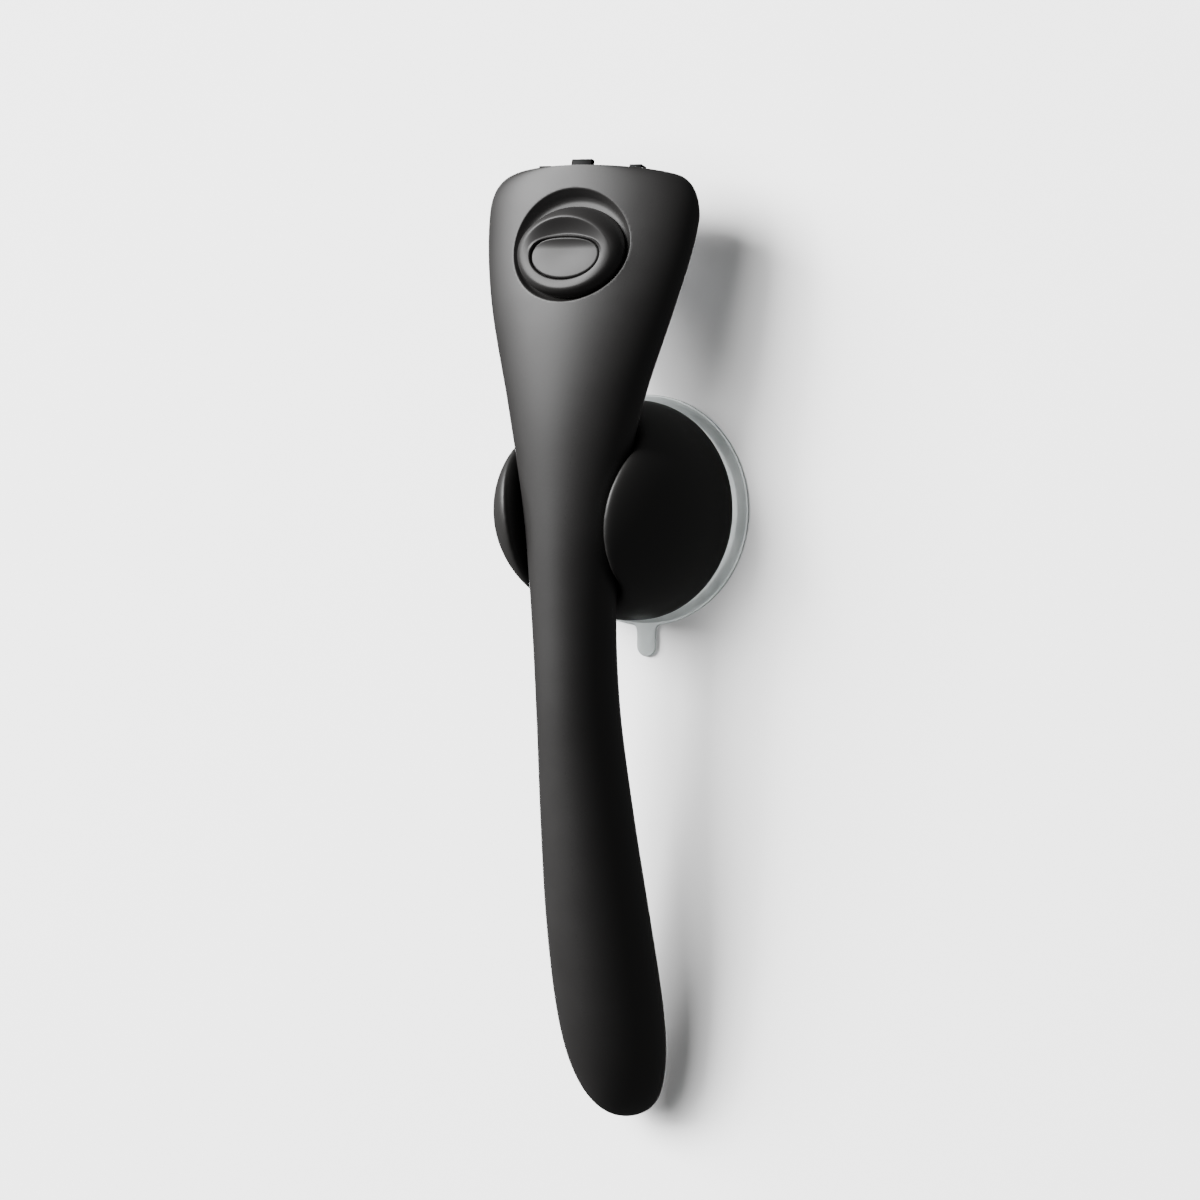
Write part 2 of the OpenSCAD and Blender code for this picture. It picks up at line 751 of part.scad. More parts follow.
module engage_slide() {
  color(black) in_head() difference() {
    union() {
      slab(tab_x[0], tab_x[1], -9, 16.8, 30.5, 31.9);
      slab(tab_x[0], 15.6, 12.4, 16.8, 30.5, 31.9);
      slab(tab_x[0], tab_x[1], -9, -7.5, 31.8, 36.4);
      slab(8.4, 15.6, 15.2, 16.8, 25.2, 31);
    }
    slab(horn_at[0] - 1.35, horn_at[0] + 1.35, 14, 18, 26, 29.6);
  }
}

module magnet_cup() {
  color(black) in_head() difference() {
    union() {
      pin_y(MAGNET_AT[0], MAGNET_AT[1], 4.4, plate_y[1] + 0.02, 17.6);
      pin_y(MAGNET_AT[0], MAGNET_AT[1], 1.2, 9.2, plate_y[1] + 0.1);
    }
    pin_y(MAGNET_AT[0], MAGNET_AT[1], 3.52, 14.6, 20);
  }
}

module lid_magnet() {
  color(steel) in_head() pin_y(MAGNET_AT[0], MAGNET_AT[1], 3.5, 14.6, 17.8);
}

// ---------- power ----------
module cell(z, out, tilt) {
  translate([0, -out, z]) rotate([tilt, 0, 0]) {
    translate([0, 0, -25.1]) cylinder(r = 7.2, h = 49);
    translate([0, 0, 23.8]) cylinder(r = 2.7, h = 1.1);
  }
}

upper_cell = [-61.5, 34.1, 8];
lower_cell = [-111.5, 22.3, 17];
module battery_upper() {
  color([0.25, 0.3, 0.34]) cell(upper_cell[0], upper_cell[1], upper_cell[2]);
}

module battery_lower() {
  color([0.25, 0.3, 0.34]) cell(lower_cell[0], lower_cell[1], lower_cell[2]);
}

module at_cell(c, along_axis) {
  translate([0, -c[1], c[0]]) rotate([c[2], 0, 0]) translate([0, 0, along_axis]) children();
}

module battery_bulkhead() {
  color(black) moulded() intersection() {
    inner_form(wall + 0.15, -80);
    at_cell(upper_cell, 26) slab(-20, 20, -30, 5.5, 0, 1.4);
  }
}

module upper_contact() {
  color(steel) at_cell(upper_cell, 25.2) slab(-4, 4, -5, 4.5, 0, 0.6);
}

module battery_spring() {
  color(steel) at_cell(lower_cell, -31.6) coil(3, 5.4, 6.3, 4, 0.35, 14);
}

module keeper_plate() {
  color(steel) slab(-5, 5, -32.7, -31.7, -9, 9);
}

module shell_screws() {
  color(steel) in_head() for (p = SHELL_SCREWS) screw_y(p, 4.42, 1.1, 8.8, 2, 1.3);
}

// ---------- wall holder ----------
dome_base = 5.8;
base_thick = 2.2;
post_start = dome_base + base_thick + 0.1;
post_end = 23.5;
dome_shoulder = 16;
dome_power = 2.2;
MAGNET_HEIGHTS = [-8, 8];

// Points of the dome's profile as [radius, distance from the wall], inset by t.
function dome_profile(t, base) = concat(
  [[0, base], [dome_r - t - 0.6, base], [dome_r - t, base + 0.6]],
  [for (i = [0 : 14]) let (a = 90 * i / 14) [
    (dome_r - t) * pow(cos(a), 2 / dome_power),
    dome_shoulder + (dome_h - t) * pow(sin(a), 2 / dome_power)
  ]]
);

module from_wall() {
  rotate([90, 0, 0]) children();
}

// The space that the handle needs to lie in and to be lifted straight out of.
module channel(gap) {
  n = 17;
  loft([for (z = [-36 : 6 : 36]) let (
      w = along(z, WIDE) + gap,
      back = [for (k = [0 : n - 1]) on_section(z, 180 + 180 * k / (n - 1), -gap, -handle_reach, cap_length)]
    )
    concat([[w, -80, z], [-w, -80, z]], back)]);
}

// The four screws that hold the base in the dome.
module at_base_screws() {
  for (a = [45, 135, 225, 315]) from_wall() rotate([0, 0, a]) translate([21, 0, 0]) children();
}

// Where the dome is hollow beside the channel, as [x, z].
POCKET = [[16, -24], [15.4, -12], [17.6, 0], [20, 10], [22.6, 22], [40, 22], [40, -24]];
module holder_body() {
  color(black) difference() {
    from_wall() rotate_extrude() polygon(dome_profile(0, dome_base));
    channel(channel_gap);
    from_wall() translate([0, 0, dome_base - 1]) cylinder(r = 25.1, h = 23.6 - dome_base);
    intersection() {
      from_wall() rotate_extrude() polygon(dome_profile(2.4, 12));
      for (side = [0, 1]) mirror([side, 0, 0]) translate([0, -20, 0]) rotate([90, 0, 0])
        linear_extrude(40) polygon(POCKET);
    }
    for (z = MAGNET_HEIGHTS) translate([0, -20, z]) from_wall() cylinder(r = 4.1, h = 6);
  }
  color(black) at_base_screws() translate([0, 0, post_start]) difference() {
    cylinder(r = 3, h = post_end - post_start);
    translate([0, 0, -1]) cylinder(r = 1.17, h = 10);
  }
}

module holder_base() {
  color(black) difference() {
    from_wall() translate([0, 0, dome_base]) cylinder(r = 25, h = base_thick);
    from_wall() cylinder(r = 2.6, h = 20);
    at_base_screws() cylinder(r = 1.4, h = 20);
  }
}

module holder_magnets() {
  color(steel) for (z = MAGNET_HEIGHTS) translate([0, -23, z]) from_wall() cylinder(r = 4, h = 3);
}

module holder_screws() {
  color(steel) at_base_screws() {
    translate([0, 0, dome_base + 1]) cylinder(r = 1.15, h = 8);
    translate([0, 0, dome_base + 0.02]) cylinder(r = 1.35, h = 1);
  }
}

module suction_cup() {
  color([0.8, 0.82, 0.82, 0.7]) difference() {
    union() {
      from_wall() rotate_extrude() polygon([
        [0, 0], [cup_r, 0], [cup_r, 0.5], [cup_r - 0.8, 1.6], [cup_r - 1.9, 3.6],
        [cup_r - 2.7, 5.2], [cup_r - 3, dome_base - 0.05], [0, dome_base - 0.05]
      ]);
      slab(-2.6, 2.6, -1, 0, -34.2, -27);
      translate([0, 0, -34.2]) from_wall() cylinder(r = 2.6, h = 1);
    }
    from_wall() translate([0, 0, -1]) rotate_extrude() polygon([
      [3.6, 0], [24.5, 0], [24.5, 2], [21, 3.2], [12, 3.9], [5, 4]
    ]);
    from_wall() translate([0, 0, 3.6]) cylinder(r = 6, h = 1.4);
    from_wall() translate([0, 0, 3.7]) cylinder(r = 2.5, h = 20);
  }
}

module cup_stud() {
  color(steel) from_wall() {
    translate([0, 0, 3.6]) cylinder(r = 5.98, h = 1.38);
    translate([0, 0, 3.7]) cylinder(r = 2.48, h = 9);
  }
}

module stud_nut() {
  color(steel) from_wall() translate([0, 0, dome_base + base_thick + 0.05]) difference() {
    cylinder(r = 4.6, h = 2.7, $fn = 6);
    translate([0, 0, -1]) cylinder(r = 2.5, h = 6);
  }
}

front_shell();
back_shell();
mechanism_housing();
end_cap();
battery_door();
thumb_slider();
lock_button();
slider_spring();
slide_switch();
gearbox_tray();
gearbox_lid();
gearbox_screws();
motor_can();
motor_magnets();
motor_armature();
motor_end_bell();
motor_shaft();
worm();
worm_wheel();
first_pinion();
first_shaft();
second_gear();
second_pinion();
second_shaft();
output_gear();
drive_shaft();
drive_wheel();
drive_wheel_screw();
drive_bush();
mechanism_plate();
plate_screws();
can_guide();
cutter_arm();
cutter_axle();
cutter_wheel();
arm_pivot();
engage_slide();
magnet_cup();
lid_magnet();
keeper_plate();
battery_upper();
battery_lower();
battery_bulkhead();
upper_contact();
battery_spring();
shell_screws();
holder_body();
holder_base();
holder_magnets();
holder_screws();
suction_cup();
cup_stud();
stud_nut();
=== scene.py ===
import json
import math

import bmesh
import bpy
import numpy as np
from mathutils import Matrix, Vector
from mathutils.bvhtree import BVHTree


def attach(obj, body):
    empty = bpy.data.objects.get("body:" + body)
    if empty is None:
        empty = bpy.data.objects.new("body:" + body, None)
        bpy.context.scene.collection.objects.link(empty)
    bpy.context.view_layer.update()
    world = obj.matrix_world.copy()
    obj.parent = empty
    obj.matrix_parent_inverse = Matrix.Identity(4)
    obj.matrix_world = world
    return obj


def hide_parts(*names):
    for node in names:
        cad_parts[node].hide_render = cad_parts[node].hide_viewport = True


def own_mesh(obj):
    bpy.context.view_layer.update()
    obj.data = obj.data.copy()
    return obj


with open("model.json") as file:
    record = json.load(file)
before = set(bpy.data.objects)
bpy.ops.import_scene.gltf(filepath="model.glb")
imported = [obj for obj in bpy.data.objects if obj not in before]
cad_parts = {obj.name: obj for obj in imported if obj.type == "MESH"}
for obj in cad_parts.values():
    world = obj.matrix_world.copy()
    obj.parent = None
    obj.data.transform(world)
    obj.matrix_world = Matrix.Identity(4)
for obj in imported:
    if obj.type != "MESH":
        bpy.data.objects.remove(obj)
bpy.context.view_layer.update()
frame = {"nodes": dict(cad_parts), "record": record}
NODES = frame["nodes"]
MM = 0.001

# ---------------------------------------------------------------- the shell's form, in mm
HEAD_TILT = math.radians(14.5)
HEAD_Z = 50
HEAD_OUT = 33.6
HEAD_END = 34.1
LEAN = math.tan(HEAD_TILT)
REACH = 151
WALL = 1.9
PARTING = 4
CAP_LENGTH = 41
CAP_POWER = 2.7
CORNER_LENGTH = 10.5
CORNER_DROP = 9
HEAD_TOP = HEAD_Z + HEAD_END * math.cos(HEAD_TILT)
# each row: height, spine's distance from the wall, half width, front half depth, back half depth
STATIONS = np.array([
    [-152, 7.5, 15.1, 11.8, 11.4],
    [-140, 13.9, 14.7, 12.6, 12.0],
    [-125, 19.3, 14.0, 12.9, 12.3],
    [-100, 26.3, 13.1, 12.5, 12.0],
    [-75, 31.7, 11.7, 11.6, 11.2],
    [-50, 35.9, 10.5, 10.8, 10.4],
    [-25, 38.2, 10.8, 10.4, 10.0],
    [0, 38.7, 13.0, 10.4, 10.0],
    [25, 37.6, 18.1, 10.8, 10.4],
    [HEAD_Z, HEAD_OUT, 25.3, 11.4, 10.8],
    [68, HEAD_OUT - 18 * LEAN, 29.0, 11.5, 11.0],
    [88, HEAD_OUT - 38 * LEAN, 29.8, 11.5, 11.0],
])
OUT, WIDE, FRONT, BACK = 1, 2, 3, 4

# ovals in the head's frame: w is the centre's height, rx and rz are half sizes
RECESS = {"w": 13.4, "rx": 16.25, "rz": 14.4}
RECESS_FLOOR = {"w": 12.9, "rx": 15.4, "rz": 13.2}
SLIDER = {"w": 12.15, "rx": 15.0, "rz": 11.8}
SCOOP = {"w": 10.2, "rx": 12.9, "rz": 9.5}
BUTTON = {"rx": 9.6, "rz": 6.1, "top": 4.6}
BUTTON_W = 10.5
# how far the bowl's floor lies in front of the spine
FLOOR = 8.2

DOOR_Z = (-127, -45)
DOOR_HALF = 7.5
DOOR_GAP = 0.25
GROOVE = 0.25
# spacing of the shells' rings, which is finer above FINE_FROM
FINE_FROM, HEAD_STEP, NECK_STEP = 44, 0.42, 2.2
# edges that turn by more than this many degrees stay crisp
SHARP = 35
ALL_SMOOTH = 180


def along(z, column):
    """Cubic Hermite curve through the stations, sloped by each station's neighbours."""
    heights, values = STATIONS[:, 0], STATIONS[:, column]
    last = len(heights) - 1
    before = np.maximum(np.arange(last + 1) - 1, 0)
    after = np.minimum(np.arange(last + 1) + 1, last)
    slopes = (values[after] - values[before]) / (heights[after] - heights[before])
    i = np.clip(np.searchsorted(heights, z, side="right") - 1, 0, last - 1)
    h = heights[i + 1] - heights[i]
    t = (z - heights[i]) / h
    return (
        values[i] * (2 * t**3 - 3 * t**2 + 1) + slopes[i] * h * (t**3 - 2 * t**2 + t)
        + values[i + 1] * (3 * t**2 - 2 * t**3) + slopes[i + 1] * h * (t**3 - t**2)
    )


def spine_tilt(z):
    """Angle by which the spine leans towards the wall at height z."""
    return np.arctan(along(z - 0.5, OUT) - along(z + 0.5, OUT))


def cap_share(z, tip, length):
    """Share of the full section that is left in the handle's rounded lower end."""
    t = np.clip((tip + length - z) / length, 0, 1)
    return np.maximum(0.02, (1 - t**CAP_POWER) ** (1 / CAP_POWER))


def corner_share(z, angle):
    """How far the head's top corners are drawn in: squarer in front, more sloping behind."""
    u = np.clip((z - HEAD_TOP + CORNER_LENGTH) / CORNER_LENGTH, 0, 1)
    power = 1.6 + 1.1 * np.clip(2.5 * np.sin(angle) + 0.5, 0, 1)
    return CORNER_DROP * (1 - (1 - u**power) ** (1 / power))


def on_section(z, angle, inset, shell_inset):
    """Points of the section at height z. shell_inset moves the end cap in, inset moves the sides in."""
    z, angle, inset = np.broadcast_arrays(np.asarray(z, float), angle, inset)
    tilt = spine_tilt(z)
    share = cap_share(z, shell_inset - REACH, CAP_LENGTH - shell_inset)
    wide = (along(z, WIDE) - inset) * share - corner_share(z, angle)
    half = np.where(np.sin(angle) > 0, along(z, FRONT), along(z, BACK)) - inset
    depth = half * share * np.sin(angle)
    return np.stack([
        wide * np.cos(angle),
        -(along(z, OUT) + depth * np.cos(tilt)),
        z + depth * np.sin(tilt),
    ], -1)


def ring_heights(inset):
    """Heights of a shell's rings: close together over the head and at both rounded ends."""
    tip, length = inset - REACH, CAP_LENGTH - inset
    cap = tip + length * (1 - np.cos(np.radians(np.linspace(0, 90, 25))))
    neck = np.arange(cap[-1], FINE_FROM, NECK_STEP)[1:]
    corner_start = HEAD_TOP - CORNER_LENGTH
    head = np.linspace(FINE_FROM, corner_start, int((corner_start - FINE_FROM) / HEAD_STEP) + 1)
    corner = HEAD_TOP - CORNER_LENGTH * (1 - np.sin(np.radians(np.linspace(0, 90, 37))))
    return np.concatenate([cap, neck, head, corner[1:]])


def to_head(points):
    """The part's frame to the head's, both in mm: x, y towards the wall, w up along the head."""
    c, s = math.cos(HEAD_TILT), math.sin(HEAD_TILT)
    y, z = points[..., 1] + HEAD_OUT, points[..., 2] - HEAD_Z
    return np.stack([points[..., 0], y * c - z * s, y * s + z * c], -1)


def from_head(points):
    """The head's frame back to the part's."""
    c, s = math.cos(HEAD_TILT), math.sin(HEAD_TILT)
    y, w = points[..., 1], points[..., 2]
    return np.stack([points[..., 0], -HEAD_OUT + y * c + w * s, HEAD_Z - y * s + w * c], -1)


def smooth(t):
    """Eases from 0 to 1 as t goes from 0 to 1."""
    t = np.clip(t, 0, 1)
    return t * t * (3 - 2 * t)


def oval_share(x, w, oval):
    """0 at the oval's centre and 1 on its outline."""
    return np.sqrt((x / oval["rx"]) ** 2 + ((w - oval["w"]) / oval["rz"]) ** 2)


# ---------------------------------------------------------------- meshes
def add_object(name, data):
    obj = bpy.data.objects.new(name, data)
    bpy.context.scene.collection.objects.link(obj)
    return obj


def mesh_object(name, points, faces):
    """A smooth-shaded object from points in mm."""
    mesh = bpy.data.meshes.new(name)
    mesh.from_pydata((np.asarray(points, float) * MM).tolist(), [], [list(map(int, f)) for f in faces])
    mesh.validate()
    shade_smooth(mesh, SHARP)
    return add_object(name, mesh)


def shade_smooth(mesh, sharp):
    for polygon in mesh.polygons:
        polygon.use_smooth = True
    mesh.set_sharp_from_angle(angle=math.radians(sharp))


def closed_object(name, points, faces):
    """As mesh_object, with every face turned outward."""
    obj = mesh_object(name, points, faces)
    bm = bmesh.new()
    bm.from_mesh(obj.data)
    bmesh.ops.recalc_face_normals(bm, faces=bm.faces)
    bm.to_mesh(obj.data)
    bm.free()
    obj.data.set_sharp_from_angle(angle=math.radians(SHARP))
    return obj


def grid_faces(rows, columns, start=0, flip=False, wrap=False):
    """Quads of a grid of points; wrap joins each row's end to its start."""
    last = columns if wrap else columns - 1
    i, k = np.meshgrid(np.arange(rows - 1), np.arange(last), indexing="ij")
    a = start + i * columns + k
    b = start + i * columns + (k + 1) % columns
    quads = np.stack([a, a + columns, b + columns, b], -1).reshape(-1, 4)
    return quads[:, ::-1] if flip else quads


def skin(name, outer, inner):
    """A wall between two grids of points that have the same rows and columns."""
    m, n = outer.shape[:2]
    q = m * n
    row = np.arange(m - 1) * n
    column = np.arange(n - 1)
    top = (m - 1) * n
    sides = np.concatenate([
        np.stack([row, q + row, q + row + n, row + n], -1),
        np.stack([row + n - 1, row + 2 * n - 1, q + row + 2 * n - 1, q + row + n - 1], -1),
        np.stack([column, column + 1, q + column + 1, q + column], -1),
        np.stack([top + column, q + top + column, q + top + column + 1, top + column + 1], -1),
    ])
    faces = np.concatenate([grid_faces(m, n), grid_faces(m, n, q, flip=True), sides])
    points = np.concatenate([outer.reshape(-1, 3), inner.reshape(-1, 3)])
    return closed_object(name, points, faces)


def apply_modifiers(obj, sharp=SHARP):
    graph = bpy.context.evaluated_depsgraph_get()
    mesh = bpy.data.meshes.new_from_object(obj.evaluated_get(graph))
    obj.modifiers.clear()
    old = obj.data
    obj.data = mesh
    bpy.data.meshes.remove(old)
    shade_smooth(mesh, sharp)


def combine(obj, tools, operation, sharp=SHARP):
    """Adds the tools to obj or cuts them from it, and deletes them."""
    for tool in tools:
        modifier = obj.modifiers.new("combine", "BOOLEAN")
        modifier.operation = operation
        modifier.object = tool
        modifier.solver = "MANIFOLD"
    apply_modifiers(obj, sharp)
    for tool in tools:
        bpy.data.objects.remove(tool)


def prism(name, outline, y0, y1, head=True):
    """A closed block: an outline in (x, w), run along the head's Y or the part's Y."""
    n = len(outline)
    flat = [(x, y0, w) for x, w in outline] + [(x, y1, w) for x, w in outline]
    points = np.array(flat, float)
    faces = [list(range(n)), list(range(2 * n - 1, n - 1, -1))]
    faces += [[i, (i + 1) % n, n + (i + 1) % n, n + i] for i in range(n)]
    return closed_object(name, from_head(points) if head else points, faces)


def circle(x, w, r, sides=48):
    return [(x + r * math.cos(a), w + r * math.sin(a)) for a in np.linspace(0, 2 * math.pi, sides, False)]


def box_outline(x0, w0, x1, w1):
    return [(x0, w0), (x1, w0), (x1, w1), (x0, w1)]


def rounded(corners, r):
    """An outline with rounded corners; the corners run anticlockwise."""
    sides = 8
    out = []
    n = len(corners)
    for i, p in enumerate(corners):
        p = Vector(p)
        to_last = (Vector(corners[i - 1]) - p).normalized()
        to_next = (Vector(corners[(i + 1) % n]) - p).normalized()
        half = to_last.angle(to_next) / 2
        middle = (to_last + to_next).normalized()
        centre = p + middle * (r / math.sin(half))
        start = math.atan2(*reversed((p + to_last * (r / math.tan(half)) - centre)[:]))
        turn = math.pi - 2 * half
        for j in range(sides + 1):
            a = start + turn * j / sides
            out.append((centre.x + r * math.cos(a), centre.y + r * math.sin(a)))
    return out


def copy_node(node, name):
    """A welded copy of a CAD node's mesh, with its flat faces whole again."""
    obj = add_object(name, NODES[node].data.copy())
    bm = bmesh.new()
    bm.from_mesh(obj.data)
    bmesh.ops.remove_doubles(bm, verts=bm.verts, dist=1e-6)
    bmesh.ops.dissolve_limit(bm, angle_limit=math.radians(0.8), verts=bm.verts, edges=bm.edges)
    bm.to_mesh(obj.data)
    bm.free()
    return obj


def add_bevel(obj, width):
    bevel = obj.modifiers.new("edges", "BEVEL")
    bevel.width = width * MM
    bevel.segments = 2
    return bevel


def soften(node, width):
    """A copy of a CAD node with its edges rounded."""
    obj = copy_node(node, node + "_soft")
    bevel = add_bevel(obj, width)
    bevel.limit_method = "ANGLE"
    bevel.angle_limit = math.radians(32)
    bevel.use_clamp_overlap = True
    apply_modifiers(obj, 40)
    return obj


# ---------------------------------------------------------------- materials
NOISE_LOW, NOISE_HIGH = 0.3, 0.7


def shader(name):
    material = bpy.data.materials.new(name)
    material.use_nodes = True
    tree = material.node_tree
    return material, tree, tree.nodes["Principled BSDF"]


def object_coordinates(tree, scale=(1, 1, 1)):
    place = tree.nodes.new("ShaderNodeTexCoord")
    mapping = tree.nodes.new("ShaderNodeMapping")
    mapping.inputs["Scale"].default_value = scale
    tree.links.new(place.outputs["Object"], mapping.inputs["Vector"])
    return mapping.outputs["Vector"]


def noise(tree, vector, scale, detail):
    node = tree.nodes.new("ShaderNodeTexNoise")
    node.inputs["Scale"].default_value = scale
    node.inputs["Detail"].default_value = detail
    node.inputs["Roughness"].default_value = 0.55
    tree.links.new(vector, node.inputs["Vector"])
    return node.outputs["Fac"]


def spread(tree, value, low, high):
    """Maps a noise value to a range of numbers."""
    node = tree.nodes.new("ShaderNodeMapRange")
    node.inputs["From Min"].default_value = NOISE_LOW
    node.inputs["From Max"].default_value = NOISE_HIGH
    node.inputs["To Min"].default_value = low
    node.inputs["To Max"].default_value = high
    tree.links.new(value, node.inputs["Value"])
    return node.outputs["Result"]


def two_tone(tree, value, dark, light):
    """Maps a noise value to a colour between dark and light."""
    ramp = tree.nodes.new("ShaderNodeValToRGB")
    low, high = ramp.color_ramp.elements
    low.position, high.position = NOISE_LOW, NOISE_HIGH
    low.color, high.color = (*dark, 1), (*light, 1)
    tree.links.new(value, ramp.inputs["Fac"])
    return ramp.outputs["Color"]


def bump(tree, bsdf, value, strength, distance):
    node = tree.nodes.new("ShaderNodeBump")
    node.inputs["Strength"].default_value = strength
    node.inputs["Distance"].default_value = distance
    tree.links.new(value, node.inputs["Height"])
    tree.links.new(node.outputs["Normal"], bsdf.inputs["Normal"])


def mix_shaders(tree, share, first, second, output):
    """Shows first where share is 0 and second where it is 1."""
    mix = tree.nodes.new("ShaderNodeMixShader")
    tree.links.new(share, mix.inputs["Fac"])
    tree.links.new(first, mix.inputs[1])
    tree.links.new(second, mix.inputs[2])
    tree.links.new(mix.outputs["Shader"], tree.nodes[output].inputs["Surface"])


def moulded(name, dark, light, rough, grain, grain_scale=2600, specular=0.5):
    """Moulded plastic: a fine spark-eroded grain, with faint cloudy wear in colour and gloss."""
    material, tree, bsdf = shader(name)
    vector = object_coordinates(tree)
    clouds = noise(tree, vector, 45, 4)
    fine = noise(tree, vector, grain_scale, 2)
    tree.links.new(two_tone(tree, clouds, dark, light), bsdf.inputs["Base Color"])
    tree.links.new(spread(tree, clouds, *rough), bsdf.inputs["Roughness"])
    bump(tree, bsdf, fine, grain, 0.00008)
    bsdf.inputs["Specular IOR Level"].default_value = specular
    return material


def metal(name, dark, light, rough, streak, grain):
    """Worked metal: fine streaks along one direction in colour, gloss and relief."""
    material, tree, bsdf = shader(name)
    streaks = noise(tree, object_coordinates(tree, streak), 1, 4)
    tree.links.new(two_tone(tree, streaks, dark, light), bsdf.inputs["Base Color"])
    tree.links.new(spread(tree, streaks, *rough), bsdf.inputs["Roughness"])
    bump(tree, bsdf, streaks, grain, 0.00003)
    bsdf.inputs["Metallic"].default_value = 1
    return material


def vinyl(name):
    """Clear soft vinyl that has gone slightly milky."""
    material, tree, bsdf = shader(name)
    vector = object_coordinates(tree)
    clouds = noise(tree, vector, 70, 3)
    milk = two_tone(tree, clouds, (0.70, 0.745, 0.74), (0.80, 0.835, 0.83))
    tree.links.new(milk, bsdf.inputs["Base Color"])
    tree.links.new(spread(tree, clouds, 0.28, 0.4), bsdf.inputs["Roughness"])
    bump(tree, bsdf, noise(tree, vector, 900, 2), 0.05, 0.0001)
    bsdf.inputs["Transmission Weight"].default_value = 0.55
    bsdf.inputs["IOR"].default_value = 1.4
    return material


# each slot of the record: dark and light colour, range of roughness, then grain or streaks
MATERIALS = {
    "shell": moulded(
        "soft_touch_black", (0.030, 0.0285, 0.028), (0.036, 0.0345, 0.034), (0.46, 0.52), 0.10, specular=0.6),
    # black plastic made darker and less glossy than the shell: partly its own black, partly painted shade
    # that keeps the tabs on the head black
    "black_plastic": moulded(
        "satin_black_painted_shade", (0.005, 0.005, 0.0055), (0.007, 0.007, 0.0075), (0.42, 0.5), 0.16, 1800, 0.08),
    "holder_plastic": moulded(
        "holder_black", (0.028, 0.027, 0.026), (0.033, 0.032, 0.031), (0.46, 0.52), 0.08, specular=0.6),
    "nylon": moulded(
        "natural_nylon", (0.74, 0.72, 0.63), (0.82, 0.80, 0.72), (0.38, 0.48), 0.1, 1500),
    "steel": metal(
        "plated_steel", (0.44, 0.45, 0.47), (0.52, 0.53, 0.55), (0.36, 0.48), (200, 200, 3500), 0.012),
    "spring_steel": metal(
        "spring_wire", (0.42, 0.43, 0.45), (0.54, 0.55, 0.56), (0.3, 0.42), (900, 900, 900), 0.02),
    "magnet": metal(
        "nickel_plate", (0.55, 0.54, 0.52), (0.66, 0.65, 0.63), (0.14, 0.24), (500, 500, 500), 0.06),
    "brass": metal(
        "turned_brass", (0.62, 0.44, 0.18), (0.72, 0.53, 0.25), (0.28, 0.4), (200, 3500, 200), 0.02),
    "battery_jacket": moulded(
        "cell_jacket", (0.10, 0.13, 0.17), (0.13, 0.16, 0.2), (0.25, 0.35), 0.05),
    "clear_vinyl": vinyl("milky_vinyl"),
}
SLOTS = {part["node"]: part["material_slot"] for part in frame["record"]["subparts"]}


def dress(obj, slot):
    obj.data.materials.clear()
    obj.data.materials.append(MATERIALS[slot])


def body_with(node):
    bodies = frame["record"]["behaviour"]["bodies"]
    return next(body for body, nodes in bodies.items() if node in nodes)


def stand_for(obj, *nodes):
    """obj is shown in place of the CAD nodes, rides with them and takes their finish."""
    slot = SLOTS[nodes[0]]
    dress(obj, slot)
    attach(obj, body_with(nodes[0]))
    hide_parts(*nodes)


# ---------------------------------------------------------------- shells
RIM_ROUND = 0.55
FOOT_ROUND = 1.1
# behind the bowl the front shell's inner face comes no further forward than this, in the head frame
BEHIND_BOWL = -6.7
HOUSING = [(-19.5, 12), (-13.5, -4), (13.5, -4), (19.5, 12), (19.5, 28.6), (-19.5, 28.6)]
SHELL_SCREWS = [(-14, -7), (14.5, -10)]


def edge_inset(count):
    """Pulls the first and last column in a little, so that two parts meet in a fine groove."""
    inset = np.zeros(count)
    inset[[0, -1]] = GROOVE
    return inset


def arc_angles(z, inset, front, count):
    """Angles round each ring, from one side's parting line to the other's."""
    start = np.arcsin(PARTING / (along(z, BACK) - inset))
    # share of the arc that the groove at each parting line takes
    edge = 0.012
    t = np.concatenate([[0, edge], np.linspace(0, 1, count - 2)[1:-1], [1 - edge, 1]])
    low, high = (-start, math.pi + start) if front else (math.pi + start, 2 * math.pi - start)
    return low[:, None] + (high - low)[:, None] * t[None, :]


def half_shell_grids(front, count):
    """Outer and inner face of the front or back shell."""
    grids = []
    for shell_inset in (0, WALL):
        z = ring_heights(shell_inset)
        angles = arc_angles(z, shell_inset, front, count)
        inset = shell_inset + (edge_inset(count) if shell_inset == 0 else 0)
        grids.append(on_section(z[:, None], angles, inset, shell_inset))
    return grids


def oval_point(oval, angle, grow=0.0):
    """Point of an oval, moved out by grow along the line from its centre."""
    x, w = oval["rx"] * math.cos(angle), oval["rz"] * math.sin(angle)
    far = 1 + grow / math.hypot(x, w)
    return x * far, oval["w"] + w * far


